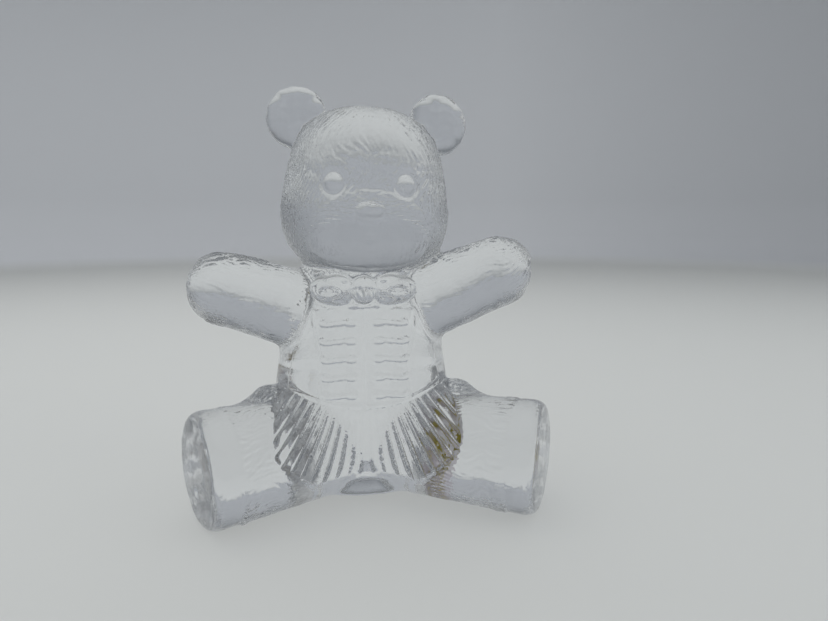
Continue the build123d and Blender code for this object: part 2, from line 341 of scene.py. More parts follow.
def leg_form(side_name):
    """A stout leg whose sole has a round rim."""
    sole, along = sole_of(side_name)
    length = (sole - LEGS_MEET).length
    rim = 2.2
    wide, thin = SOLE_RADIUS, THIGH_RADIUS
    rings = [
        (0.0, thin, thin), (length * 0.5, thin, thin), (length - 7.0, wide - 0.25, wide - 0.25),
        (length - rim - 0.8, wide, wide), (length - rim, wide, wide), (length - 0.9, wide - 0.35, wide - 0.35),
        (length - 0.25, wide - 1.1, wide - 1.1), (length, wide - rim, wide - rim), (length, 5.0, 5.0),
    ]
    return stood_along(ringed_form(f"leg_{side_name}_form", rings), LEGS_MEET, along)


def ear_at(side_name):
    """The middle of an ear, and the way its dished face looks."""
    low, high = place(f"ear_{side_name}")
    side = SIDES[side_name]
    outer = high[0] - EAR_RADIUS if side > 0 else low[0] + EAR_RADIUS
    at = Vector((outer, (low[1] + high[1]) / 2, high[2] - EAR_RADIUS))
    return at, Vector((side * math.sin(math.radians(10)), -math.cos(math.radians(10)), 0))


def ear_form(side_name, growth=0.0):
    """A thick disc with a round rim and a dished face."""
    at, outwards = ear_at(side_name)
    half = EAR_HALF_THICKNESS + growth
    profile = [
        (-1.0, 0.33), (-1.0, 0.58), (-0.93, 0.75), (-0.7, 0.9), (-0.3, 0.99), (0.0, 1.0),
        (0.3, 0.99), (0.7, 0.9), (0.93, 0.75), (1.0, 0.62), (0.93, 0.5), (0.82, 0.3),
    ]
    rings = [(share * half, wide * EAR_RADIUS + growth, wide * EAR_RADIUS + growth) for share, wide in profile]
    return stood_along(ringed_form(f"ear_{side_name}_form", rings), at, outwards)


def eye_at(side_name):
    """The middle of an eye's ball."""
    at = middle(f"eye_{side_name}")
    at.y = place(f"eye_{side_name}")[0][1] + EYE_RADIUS
    return at


def muzzle_ball(growth=0.0):
    """The smooth muzzle."""
    low, high = place("muzzle")
    half = ((high[0] - low[0]) / 2 + growth, MUZZLE_HALF_DEPTH + growth, MUZZLE_HALF_HEIGHT + growth)
    at = ((low[0] + high[0]) / 2, low[1] + MUZZLE_HALF_DEPTH, high[2] - MUZZLE_HALF_HEIGHT)
    return ball("muzzle_form", at, half, (0, HEAD_TILT, 0), 0.14)


def nose_ball(growth=0.0):
    """The small nose on top of the muzzle."""
    low, high = place("nose")
    at = ((low[0] + high[0]) / 2, low[1] + 2.0, (low[2] + high[2]) / 2)
    return ball("nose_form", at, (3.3 + growth, 2.0 + growth, 1.9 + growth), (0, HEAD_TILT, 0))


def bow_loop(side_name):
    """One puffed loop of the bow."""
    lean = (0, -SIDES[side_name] * math.radians(6), 0)
    return ball(f"loop_{side_name}_form", LOOPS[side_name], (5.6, LOOP_HALF_DEPTH, 3.8), lean)


def bow_knot(growth=0.0):
    """The squarish knot between the loops."""
    return ball("knot_form", KNOT, (3.2 + growth, KNOT_HALF_DEPTH + growth, 3.5 + growth))


def box_middle_behind(node, depth):
    """The middle of a form that shows only its front, this deep behind its foremost point."""
    low, high = place(node)
    return Vector(((low[0] + high[0]) / 2, low[1] + depth, (low[2] + high[2]) / 2))


EARS = {name: ear_at(name)[0] for name in SIDES}
LOOPS = {name: box_middle_behind(f"bow_loop_{name}", LOOP_HALF_DEPTH) for name in SIDES}
KNOT = box_middle_behind("bow_knot", KNOT_HALF_DEPTH)
MUZZLE_MIDDLE = box_middle_behind("muzzle", MUZZLE_HALF_DEPTH)


# ---------------------------------------------------------------- the bare casting, without clothes or fur
def bare_casting():
    """Torso, head and limbs run together, then the small round features pressed on to them."""
    forms = [torso_form("torso_form"), head_form("head_form")]
    for name, side in SIDES.items():
        forms.append(arm_form(name))
        forms.append(leg_form(name))
        for (aside, forward, height), half_sizes in HIP_PADS:
            forms.append(ball(f"hip_{name}_form", (side * aside, forward, height), half_sizes))
    forms.append(muzzle_ball())
    body = melted(joined("body", *forms), BODY_VOXEL, 14)
    finish_with(body, "SUBSURF", levels=1, render_levels=1)

    details = [nose_ball()]
    for name in SIDES:
        details.append(ear_form(name))
        details.append(ball(f"eye_{name}_form", eye_at(name), (EYE_RADIUS,) * 3))
        details.append(bow_loop(name))
    details.append(bow_knot())
    skin = melted(joined("casting", body, *details), SKIN_VOXEL, 3)
    table = cut(skin, block("table", (-80, -80, -30), (80, 80, 0.0)), "below_the_table")
    discard(table)
    return skin


# ---------------------------------------------------------------- relief
def ramp(values, start, end):
    """0 at the start, 1 at the end, with a soft turn at both."""
    share = np.clip((values - start) / (end - start), 0.0, 1.0)
    return share * share * (3 - 2 * share)


def window(values, start, end, soft):
    """1 between start and end, fading out over a soft edge."""
    return ramp(values, start - soft / 2, start + soft / 2) * (1 - ramp(values, end - soft / 2, end + soft / 2))


def ball_gap(points, at, half_sizes):
    """How many ball sizes each point is from a ball's middle."""
    return np.linalg.norm((points - np.array(at)) / np.array(half_sizes), axis=1)


def chance(*keys):
    """A repeatable random share for each set of whole numbers."""
    mixed = SEED * 0.7
    for weight, key in zip((12.9898, 78.233, 37.719, 51.13), keys):
        mixed = mixed + weight * np.asarray(key, dtype=float)
    return np.modf(np.abs(np.sin(mixed) * 43758.5453))[0]


def strokes(along, turn, radius_at, length, width, key):
    """Heights of short raised hairs laid in rows: each row has as many as fit round it."""
    height = np.zeros(len(along))
    for layer in range(3):
        row = np.floor(along / length + layer / 3)
        row_middle = (row + 0.5 - layer / 3) * length
        count = np.maximum(3, np.round(2 * np.pi * radius_at(row_middle) / width))
        spot = turn * count + chance(row, layer, key) * count
        lean = (chance(row, np.floor(spot), layer + 7, key) - 0.5) * 0.9
        lengthwise = (along - row_middle) / length
        spot = spot + lean * lengthwise
        cell = np.floor(spot)
        across = 2 * (spot - cell) - 1
        cell = np.mod(cell, count)
        strength = 0.35 + 0.65 * chance(row, cell, layer, key)
        reach = 0.75 + 0.25 * chance(row, cell, layer + 3, key)
        shape = np.clip(1 - np.abs(across) ** 2.2, 0, 1) * np.clip(1 - np.abs(2 * lengthwise / reach) ** 3, 0, 1)
        height = np.maximum(height, strength * shape)
    return height


def limb_map(points, start, end):
    """Distance along a limb's axis, share of a turn round it, and distance from it."""
    start, end = np.array(start), np.array(end)
    axis = (end - start) / np.linalg.norm(end - start)
    along = (points - start) @ axis
    spokes = points - start - along[:, None] * axis
    first = np.cross(axis, (0, 0, 1.0))
    first /= np.linalg.norm(first)
    second = np.cross(axis, first)
    turn = np.arctan2(spokes @ first, spokes @ second) / (2 * np.pi)
    return along, turn, np.linalg.norm(spokes, axis=1)


def ripple(points, length, key):
    """Slow random waves over the glass, from -1 to 1, about this many millimetres long."""
    x, y, z = (points * (2 * np.pi / length)).T
    waves = np.sin(x + 1.7 * key + 0.9 * np.sin(0.7 * y + key)) + np.sin(y * 0.9 + 2.1 * key + 0.8 * np.sin(0.8 * z))
    return (waves + np.sin(z * 1.1 + 0.6 * key + 0.9 * np.sin(0.6 * x - key))) / 3


def fur(points, normals):
    """Heights of the pressed fur, and where each part of the body has it."""
    height = np.zeros(len(points))
    x, _, z = points.T
    seen = 0.2 + 0.8 * ramp(-normals[:, 1], -0.45, 0.25)
    patches = 0.55 + 0.45 * ramp(ripple(points, 13.0, 1), -0.35, 0.35)

    crown = np.array(HEAD_SEAT) + (0.8, 0, HEAD_HEIGHT * 0.45)
    spokes = points - crown
    reach = np.linalg.norm(spokes, axis=1)
    fall = np.arccos(np.clip(spokes[:, 2] / reach, -1, 1)) * 20 + 1.2 * ripple(points, 11.0, 2)
    turn = np.arctan2(spokes[:, 0], -spokes[:, 1]) / (2 * np.pi) + 0.035 * ripple(points, 17.0, 3)
    head_fur = strokes(fall, turn, lambda row: 20 * np.abs(np.sin(row / 20)), 4.2, 1.05, 1)
    on_head = ramp(z, NECK_HEIGHT - 1.0, NECK_HEIGHT + 1.5)
    for name in SIDES:
        on_head = on_head * ramp(ball_gap(points, EARS[name], (1, 1, 1)), EAR_RADIUS + 0.1, EAR_RADIUS + 1.2)
        on_head = on_head * ramp(ball_gap(points, eye_at(name), (1, 1, 1)), EYE_RADIUS + 0.3, EYE_RADIUS + 1.2)
    muzzle_gap = ball_gap(points, MUZZLE_MIDDLE, (14.0, 9.5, 7.2))
    on_head = on_head * ramp(muzzle_gap, 0.98, 1.1)
    cheeks = 0.7 + 0.3 * ramp(np.abs(x - HEAD_SEAT.x), 9.0, 14.0) + 0.3 * ramp(z, 89.0, 94.0)
    height += HEAD_FUR * head_fur * on_head * cheeks * (0.45 + 0.55 * seen)

    for key, (name, side) in enumerate(SIDES.items()):
        hand = hand_of(name)
        along, turn, gap = limb_map(points, ARMS_MEET, hand)
        length = (hand - ARMS_MEET).length
        hand_end = np.sqrt(np.clip(HAND_RADIUS ** 2 - (np.arange(400) / 4 - length) ** 2, 1, None))
        arm_radius = lambda row: np.where(row < length, 10.0, hand_end[np.clip(row * 4, 0, 399).astype(int)])
        wandering = along + 1.5 * ripple(points, 12.0, 4)
        twisted = turn + 0.02 * ripple(points, 9.0, 5)
        arm_fur = strokes(wandering, twisted, arm_radius, LIMB_STROKE, 1.1, 3 + key)
        on_arm = ramp(along, 17.0, 19.5) * (1 - ramp(gap, 12.5, 14.0)) * (z > 20)
        tips = 0.75 + 0.45 * ramp(along, length - 6, length + 3)
        height += ARM_FUR * arm_fur * on_arm * seen * patches * tips

        sole, _ = sole_of(name)
        along, turn, gap = limb_map(points, LEGS_MEET, sole)
        length = (sole - LEGS_MEET).length
        wandering = along + 1.5 * ripple(points, 12.0, 6)
        twisted = turn + 0.02 * ripple(points, 9.0, 7)
        leg_fur = strokes(wandering, twisted, lambda row: 13.8 + 0 * row, LIMB_STROKE, 1.2, 5 + key)
        on_leg = ramp(along, 21.0, 25.0) * (1 - ramp(along, length - 7.4, length - 6.6)) * ramp(z, 0.8, 2.5)
        on_leg = on_leg * (1 - ramp(gap, 17.0, 19.0)) * (side * x > 8) * (1 - on_label(points))
        ends = 0.55 + 0.65 * ramp(along, length - 13, length - 8)
        height += LEG_FUR * leg_fur * on_leg * seen * patches * ends
    return height


def on_label(points):
    """1 where the label is stuck behind the left hip, which is smooth."""
    return 1 - ramp(ball_gap(points, middle("label_backing"), (1, 1, 1)), 7.0, 9.0)


def back_of_clothes(points):
    """Heights of the vest's back and of the skirt's shallow pleats behind."""
    x, y, z = points.T
    behind = ramp(y, 1.5, 3.0)
    away = np.ones(len(points))
    for name in SIDES:
        along, _, gap = limb_map(points, ARMS_MEET, hand_of(name))
        away = away * (1 - ramp(along, 15.5, 17.0) * (1 - ramp(gap, 11.5, 13.5)))
        sole, _ = sole_of(name)
        along, _, gap = limb_map(points, LEGS_MEET, sole)
        away = away * (1 - ramp(along, 19.0, 22.0) * (1 - ramp(gap, 14.0, 16.0)))
    panel = ramp(z, 26.8, 29.4) * (1 - ramp(z, 48.6, 49.2))
    angle = np.degrees(np.arctan2(x, y))
    folds = (0.5 + 0.5 * np.cos(np.radians(angle * 20))) ** 0.5 * window(z, 4.0, 27.5, 5.0)
    seam = 1 - 0.6 * (1 - ramp(np.abs(x), 0.15, 0.55))
    return behind * away * (BACK_THICKNESS * panel * seam + 0.28 * folds * (1 - on_label(points)))


def vest_cover(points):
    """1 where the vest lies, and how far up its hem runs."""
    x, y, z = points.T
    wide = np.abs(x)
    hem = vest_hem(wide)
    side_edge = 19.4 + (15.5 - 19.4) * (z - 28.5) / (49.0 - 28.5)
    inside = ramp(z, hem - 0.2, hem + 0.2) * (1 - ramp(z, 48.6, 49.2)) * ramp(-y, 2.0, 4.0)
    inside = inside * (1 - ramp(wide, side_edge - 0.25, side_edge + 0.25))
    for name in SIDES:
        along, _, gap = limb_map(points, ARMS_MEET, hand_of(name))
        inside = inside * (1 - ramp(along, 15.5, 16.5) * (1 - ramp(gap, 11.0, 12.2)))
    return inside


def vest_hem(wide):
    """The height of the vest's hem at a distance from the middle."""
    return 24.8 + 3.7 * (wide / 19.4) ** 2.4


def vest(points):
    """Heights of the vest's two fronts, their lapels and the braids sewn across them."""
    x, _, z = points.T
    wide = np.abs(x)
    inside = vest_cover(points)
    thickness = np.where(x > 0.0, VEST_THICKNESS + 0.2, VEST_THICKNESS - 0.2)
    opening = 1 - 0.8 * window(x, -0.7, -0.05, 0.25)
    hem_roll = 0.35 * window(z, vest_hem(wide) + 0.1, vest_hem(wide) + 1.3, 0.5)
    lapel_edge = 11.8 + 0.06 * (z - 36.0) - 1.6 * np.exp(-((z - 36.0) / 7.0) ** 2)
    lapel = -0.5 * window(wide, lapel_edge, lapel_edge + 0.7, 0.4)
    height = (thickness + hem_roll + lapel) * inside * opening
    for key in range(BRAIDS):
        at = LOWEST_BRAID + key * BRAID_PITCH
        bow_of = 0.45 * np.cos(np.pi * (wide - 2.4) / 8.6)
        bar = np.sqrt(np.clip(1 - ((z - at - bow_of) / 0.7) ** 2, 0, 1)) * window(wide, 2.4, 9.6, 0.5)
        knot = np.sqrt(np.clip(1 - ((wide - 9.9) / 1.1) ** 2 - ((z - at) / 1.0) ** 2, 0, 1))
        toggle = np.sqrt(np.clip(1 - ((wide - 3.3) / 1.7) ** 2 - ((z - at - 0.3) / 1.05) ** 2, 0, 1))
        height += BRAID_THICKNESS * np.maximum(np.maximum(bar, 1.1 * knot), 1.2 * toggle) * inside
    return height


def fan(points):
    """Where each point lies on the skirt's fan of pleats: its angle in degrees and its distance from the middle."""
    x, _, z = points.T
    middle_height = PLEAT_FAN_HEIGHT - 0.20 * np.abs(x)
    return np.degrees(np.arctan2(x, middle_height - z)), np.hypot(x, middle_height - z)


def skirt_cover(points):
    """1 where the skirt lies: crisp at the waist, and running out softly over the thighs."""
    x, y, z = points.T
    wide = np.abs(x)
    hem = np.where(wide < 13, 6.8 + 0.2 * (wide / 13) ** 2, 7.0 + 11.0 * ((wide - 13) / 10))
    top = vest_hem(wide)
    cover = ramp(z, hem - 0.4, hem + 2.6) * (1 - ramp(z, top - 0.3, top + 0.3))
    return cover * (1 - ramp(wide, 20.0, 23.0)) * ramp(-y, 2.0, 6.0)


def skirt(points):
    """Heights of the skirt: broad knife pleats, each highest beside the groove that parts it from the next."""
    angle, reach = fan(points)
    x, _, z = points.T
    count = np.abs(angle) / PLEAT_PITCH + 0.5
    step = np.mod(count, 1.0)
    groove_gap = np.minimum(step, 1 - step) * np.radians(PLEAT_PITCH) * reach
    fullness = 0.45 + 0.55 * chance(np.floor(count), x > 0, 11)
    pleat = 0.8 * fullness * step ** 1.5 + 0.25
    depth = ramp(reach, 14.5, 17.0) * ramp(z, 8.0, 11.5) * (1.15 - 0.75 * ramp(np.abs(angle), 16.0, 38.0))
    groove = (1 - ramp(groove_gap, 0.1, 0.5)) * SKIRT_THICKNESS
    return (SKIRT_THICKNESS + (PLEAT_THICKNESS * pleat - groove) * depth) * skirt_cover(points)


def ruff(points):
    """Heights of the ruff round the neck."""
    x, y, z = points.T
    turn = np.degrees(np.arctan2(x, -y))
    flute = 0.5 + 0.5 * np.cos(np.radians(turn * 30) + 2.5 * np.sin(z * 0.35 + turn * 0.1))
    lift = window(z, 49.2, 58.0, 1.4)
    for name in SIDES:
        along, _, gap = limb_map(points, ARMS_MEET, hand_of(name))
        lift = lift * (1 - ramp(along, 13.0, 16.0) * (1 - ramp(gap, 11.0, 13.0)))
    return (RUFF_THICKNESS - 0.5 + 0.9 * flute) * lift * (1 - in_bow(points))


def in_bow(points):
    """1 on the bow's loops and knot."""
    inside = np.zeros(len(points))
    for name in SIDES:
        inside = np.maximum(inside, 1 - ramp(ball_gap(points, LOOPS[name], (6.4, 7.0, 4.8)), 0.95, 1.1))
    return np.maximum(inside, 1 - ramp(ball_gap(points, KNOT, (3.8, 6.0, 4.0)), 0.95, 1.1))


def bow_folds(points):
    """Heights of the folds that run out from the knot over both loops."""
    x, y, z = points.T
    turn = np.arctan2(z - KNOT.z, np.abs(x - KNOT.x))
    reach = np.hypot(x - KNOT.x, z - KNOT.z)
    folds = np.cos(turn * 9) * ramp(reach, 3.4, 5.0) * (1 - ramp(reach, 9.0, 11.0))
    dents = np.zeros(len(points))
    for name, side in SIDES.items():
        dents += 1 - ramp(ball_gap(points, LOOPS[name] + Vector((side * 0.8, -2.0, 0)), (3.2, 5.0, 1.5)), 0.4, 1.0)
    return (0.4 * folds - 0.9 * dents) * in_bow(points) * (y < 0)


def face_lines(points):
    """Heights of the fluffy band under the eyes, the brows and the small mouth."""
    x, y, z = points.T
    at = MUZZLE_MIDDLE
    front = ramp(-y, 8.0, 12.0)
    arched = z + 0.03 * (x - at.x) ** 2
    band = window(arched, at.z + 5.2, at.z + 10.6, 1.6) * (1 - ramp(np.abs(x - at.x), 15.0, 18.0)) * front
    tufts = strokes(x + 40 + 0.5 * np.sin(z * 2.1), z / 40, lambda row: 40 / (2 * np.pi) + 0 * row, 3.0, 0.95, 9)
    height = FACE_FUR * tufts * band
    for name in SIDES:
        gap = ball_gap(points, eye_at(name), (1, 1, 1))
        height -= 0.35 * window(gap, EYE_RADIUS - 0.1, EYE_RADIUS + 0.9, 0.6) * front
    mouth = np.zeros(len(points))
    for degrees in (35, 90, 145):
        turn = math.radians(degrees)
        spot_x, spot_z = x - at.x, z - (at.z - 0.4)
        along = spot_x * math.cos(turn) + spot_z * math.sin(turn)
        across = -spot_x * math.sin(turn) + spot_z * math.cos(turn)
        mouth = np.maximum(mouth, (1 - ramp(np.abs(along), 0.9, 1.6)) * (1 - ramp(np.abs(across), 0.15, 0.45)))
    return height - 0.4 * mouth * front


def pressed(casting):
    """Press the clothes, the fur and the small marks into the bare casting."""
    points, normals = points_of(casting)
    clothes = np.maximum(vest(points), skirt(points)) + ruff(points) + back_of_clothes(points)
    dressed = ramp(clothes, 0.05, 0.3)
    clothes += bow_folds(points)
    near_ears = np.zeros(len(points))
    for name in SIDES:
        near_ears += 1 - ramp(ball_gap(points, EARS[name], (1, 1, 1)), EAR_RADIUS - 0.5, EAR_RADIUS + 0.8)
    clothes += 0.05 * ripple(points, 6.0, 8) + near_ears * 0.16 * ripple(points, 3.2, 9)
    sole, _ = sole_of("right")
    dimple_at = sole + Vector((0, 0, -5.0))
    dimple = 0.6 * (1 - ramp(ball_gap(points, dimple_at, (1, 1, 1)), 0.6, 1.8))
    height = clothes + fur(points, normals) * (1 - dressed) + face_lines(points) - dimple
    height = height * ramp(points[:, 2], 0.05, 0.8)
    move_points(casting, points + normals * height[:, None])
    return casting


# ---------------------------------------------------------------- glass and label finishes
def new_material(name):
    """An empty node material with its output."""
    material = bpy.data.materials.new(name)
    material.use_nodes = True
    nodes = material.node_tree.nodes
    nodes.clear()
    output = nodes.new("ShaderNodeOutputMaterial")
    return material, nodes, material.node_tree.links, output


def clear_glass(name, tint, roughness, grain_size, grain_depth):
    """Pressed glass: clear and glossy, faintly wavy from the mould, and it lets light through to the table."""
    material, nodes, links, output = new_material(name)
    glass = nodes.new("ShaderNodeBsdfPrincipled")
    glass.inputs["Base Color"].default_value = (*tint, 1.0)
    glass.inputs["Transmission Weight"].default_value = 1.0
    glass.inputs["IOR"].default_value = 1.5
    glass.inputs["Roughness"].default_value = roughness

    place_of = nodes.new("ShaderNodeTexCoord")
    waves = nodes.new("ShaderNodeTexNoise")
    waves.inputs["Scale"].default_value = grain_size
    waves.inputs["Detail"].default_value = 3.0
    links.new(place_of.outputs["Object"], waves.inputs["Vector"])
    bump = nodes.new("ShaderNodeBump")
    bump.inputs["Strength"].default_value = 1.0
    bump.inputs["Distance"].default_value = grain_depth
    links.new(waves.outputs["Fac"], bump.inputs["Height"])
    links.new(bump.outputs["Normal"], glass.inputs["Normal"])

    through = nodes.new("ShaderNodeBsdfTransparent")
    through.inputs["Color"].default_value = (0.985, 0.988, 0.992, 1.0)
    path = nodes.new("ShaderNodeLightPath")
    shadow_side = nodes.new("ShaderNodeMixShader")
    links.new(path.outputs["Is Shadow Ray"], shadow_side.inputs[0])
    links.new(glass.outputs[0], shadow_side.inputs[1])
    links.new(through.outputs[0], shadow_side.inputs[2])
    links.new(shadow_side.outputs[0], output.inputs["Surface"])
    return material


def fused_seam():
    """Where two regions are one glass: light passes straight through."""
    material, nodes, links, output = new_material("fused_seam")
    through = nodes.new("ShaderNodeBsdfTransparent")
    through.inputs["Color"].default_value = (1, 1, 1, 1)
    links.new(through.outputs[0], output.inputs["Surface"])
    return material


def label_film():
    """The label's thin lilac-white film, which shows the glass behind it."""
    material, nodes, links, output = new_material("label_film")
    film = nodes.new("ShaderNodeBsdfPrincipled")
    film.inputs["Base Color"].default_value = (0.86, 0.80, 0.86, 1.0)
    film.inputs["Roughness"].default_value = 0.35
    film.inputs["Alpha"].default_value = 0.42
    place_of = nodes.new("ShaderNodeTexCoord")
    grain = nodes.new("ShaderNodeTexNoise")
    grain.inputs["Scale"].default_value = 1800.0
    links.new(place_of.outputs["Object"], grain.inputs["Vector"])
    bump = nodes.new("ShaderNodeBump")
    bump.inputs["Distance"].default_value = 0.00002
    links.new(grain.outputs["Fac"], bump.inputs["Height"])
    links.new(bump.outputs["Normal"], film.inputs["Normal"])
    links.new(film.outputs[0], output.inputs["Surface"])
    return material


def gold_print():
    """The olive gold of the label's printed foil, a little uneven where it is rubbed."""
    material, nodes, links, output = new_material("gold_print")
    gold = nodes.new("ShaderNodeBsdfPrincipled")
    gold.inputs["Metallic"].default_value = 0.35
    gold.inputs["Roughness"].default_value = 0.4
    place_of = nodes.new("ShaderNodeTexCoord")
    wear = nodes.new("ShaderNodeTexNoise")
    wear.inputs["Scale"].default_value = 900.0
    wear.inputs["Detail"].default_value = 4.0
    links.new(place_of.outputs["Object"], wear.inputs["Vector"])
    shades = nodes.new("ShaderNodeValToRGB")
    shades.color_ramp.elements[0].position = 0.35
    shades.color_ramp.elements[0].color = (0.30, 0.25, 0.02, 1)
    shades.color_ramp.elements[1].position = 0.65
    shades.color_ramp.elements[1].color = (0.62, 0.52, 0.07, 1)
    links.new(wear.outputs["Fac"], shades.inputs["Fac"])
    links.new(shades.outputs["Color"], gold.inputs["Base Color"])
    links.new(gold.outputs[0], output.inputs["Surface"])
    return material


# ---------------------------------------------------------------- the label behind the left hip
LABEL_TURN = math.radians(39.0)
LABEL_SIZE = (10.0, 8.0)
FILM_LIFT, FILM_THICKNESS = -0.20, 0.10
GOLD_LIFT, GOLD_THICKNESS = -0.28, 0.26
# patches of gold, each from its lower corner to its upper one, in millimetres from the label's middle,
# with the first number growing towards the back
GOLD_PATCHES = (
    ((0.6, 1.1), (3.2, 3.2)),
    ((-3.6, 0.1), (4.0, 0.7)),
    ((-3.4, -0.8), (-1.0, -0.3)), ((-0.4, -0.9), (0.1, 1.2)), ((1.0, -0.8), (3.8, -0.4)),
    ((-3.7, 1.4), (-2.3, 1.9)), ((-3.2, 2.4), (-2.6, 3.0)),
    ((1.6, -2.0), (3.6, -1.6)), ((-3.2, -2.1), (-1.8, -1.7)),
    ((0.9, -3.2), (2.2, -2.6)), ((-3.0, -3.1), (-1.4, -2.8)),
)


def label_seat():
    """Where the back of the left thigh comes out of the hips, at the label's height."""
    _, along = sole_of("left")
    reach = (HIP_HALF_WIDTH + THIGH_RADIUS * along.y) / along.x
    return Vector((HIP_HALF_WIDTH, LEGS_MEET.y + THIGH_RADIUS * along.x + reach * along.y, middle("label_backing").z))


def sheet_on_glass(name, whole, lift, thickness, keeps):
    """A thin sheet laid on the glass behind the left hip, cut to the cells that keeps(across, up) says."""
    outwards = Vector((math.cos(LABEL_TURN), math.sin(LABEL_TURN), 0))
    bpy.ops.mesh.primitive_grid_add(x_subdivisions=80, y_subdivisions=64, size=1.0, location=(0, 0, 0))
    sheet = bpy.context.object
    sheet.name = name
    sheet.data.name = name
    sheet.scale = (*LABEL_SIZE, 1.0)
    settle(sheet)
    bpy.ops.object.mode_set(mode="EDIT")
    bpy.ops.mesh.select_mode(type="FACE")
    bpy.ops.mesh.select_all(action="DESELECT")
    bpy.ops.object.mode_set(mode="OBJECT")
    for face in sheet.data.polygons:
        face.select = not keeps(face.center.x, face.center.y)
    bpy.ops.object.mode_set(mode="EDIT")
    bpy.ops.mesh.delete(type="FACE")
    bpy.ops.mesh.select_mode(type="VERT")
    bpy.ops.object.mode_set(mode="OBJECT")
    at = label_seat() + outwards * 6.0
    sheet.matrix_world = Matrix((
        (-outwards.y, 0, outwards.x, at.x), (outwards.x, 0, outwards.y, at.y), (0, 1, 0, at.z), (0, 0, 0, 1)))
    finish_with(
        sheet, "SHRINKWRAP", target=whole, wrap_method="PROJECT", use_project_z=True,
        use_positive_direction=False, use_negative_direction=True)
    settle(sheet)
    points, _ = points_of(sheet)
    move_points(sheet, points + np.array(outwards) * lift)
    finish_with(sheet, "SOLIDIFY", thickness=thickness, offset=1.0)
    pick(sheet)
    bpy.ops.object.shade_smooth_by_angle(angle=math.radians(40))
    sheet.data.transform(Matrix.Scale(METRES, 4))
    sheet.data.update()
    return sheet


def is_film(across, up):
    """Whether a cell is on the label's film, whose corners are round."""
    return math.hypot(max(abs(across) - 4.0, 0), max(abs(up) - 3.0, 0)) <= 1.0


def is_gold(across, up):
    """Whether a cell has gold on it."""
    return any(low[0] <= across <= high[0] and low[1] <= up <= high[1] for low, high in GOLD_PATCHES)


# ---------------------------------------------------------------- cutting the casting into its regions
def outline_form(name, outline, near, far):
    """A plate with an outline seen from the front, given as x and z, between two depths."""
    mesh = bpy.data.meshes.new(name)
    mesh.from_pydata([(x, near, z) for x, z in outline], [], [list(range(len(outline)))])
    form = bpy.data.objects.new(name, mesh)
    bpy.context.collection.objects.link(form)
    pick(form)
    bpy.ops.object.mode_set(mode="EDIT")
    bpy.ops.mesh.select_all(action="SELECT")
    bpy.ops.mesh.extrude_region_move(TRANSFORM_OT_translate={"value": (0, far - near, 0)})
    bpy.ops.object.mode_set(mode="OBJECT")
    return face_outwards(form)


def swollen(form, name, growth):
    """A copy of a skin moved out along its own directions."""
    twin = copy_of(form, name)
    points, normals = points_of(twin)
    move_points(twin, points + normals * growth)
    return twin


def outside_of(form, core, keep_core=False):
    """Take from a cutter what lies inside the core, so that it cuts only the layer above it."""
    finish_with(form, "BOOLEAN", operation="DIFFERENCE", object=core, solver="MANIFOLD")
    if not keep_core:
        discard(core)
    return form


def side_outline(outline, side):
    """An outline drawn for the bear's left, mirrored for its right."""
    return [(side * x, z) for x, z in outline]


def vest_outline():
    """The outline of one front of the vest, from the opening outwards."""
    hem = [(wide, vest_hem(wide) - 0.3) for wide in (0.0, 5.0, 10.0, 14.0, 17.0, 19.9)]
    return hem + [(16.0, 49.1), (0.0, 49.1)]


def skirt_outline():
    """The outline of the skirt, from the middle of its hem round its left side and back round its right."""
    half = [(0, 6.2), (13.0, 6.4), (23.2, 17.9), (20.5, vest_hem(20.5))]
    half += [(wide, vest_hem(wide)) for wide in (17.0, 14.0, 10.0, 5.0)]
    return half + [(0.0, vest_hem(0.0))] + [(-x, z) for x, z in reversed(half[1:])]


def seam_in(*cutters):
    """Give a cutter's faces the fused seam, which they leave on the glass that they cut."""
    for cutter in cutters:
        cutter.data.materials.clear()
        cutter.data.materials.append(SEAM)


def region(piece, cutter, name):
    """Cut one named region out of the casting, with the fused seam on both sides of the cut."""
    seam_in(cutter)
    return cut(piece, cutter, name)


def finished(piece, name, whole):
    """Smooth the glass as in the whole casting, keep the cut edges crisp and bring the piece to its real size."""
    piece.name = name
    piece.data.name = name
    mesh = piece.data
    pick(piece)
    bpy.ops.object.shade_smooth()
    finish = np.empty(len(mesh.polygons), dtype=int)
    mesh.polygons.foreach_get("material_index", finish)
    sizes = np.empty(len(mesh.polygons), dtype=int)
    mesh.polygons.foreach_get("loop_total", sizes)
    edges = np.empty(len(mesh.loops), dtype=int)
    mesh.loops.foreach_get("edge_index", edges)
    finish_of_corner = np.repeat(finish, sizes)
    lowest = np.full(len(mesh.edges), 99)
    highest = np.full(len(mesh.edges), -1)
    np.minimum.at(lowest, edges, finish_of_corner)
    np.maximum.at(highest, edges, finish_of_corner)
    mesh.edges.foreach_set("use_edge_sharp", lowest != highest)
    finish_with(
        piece, "DATA_TRANSFER", object=whole, use_loop_data=True, data_types_loops={"CUSTOM_NORMAL"},
        loop_mapping="POLYINTERP_NEAREST")
    mesh = piece.data
    mesh.transform(Matrix.Scale(METRES, 4))
    mesh.update()
    return piece


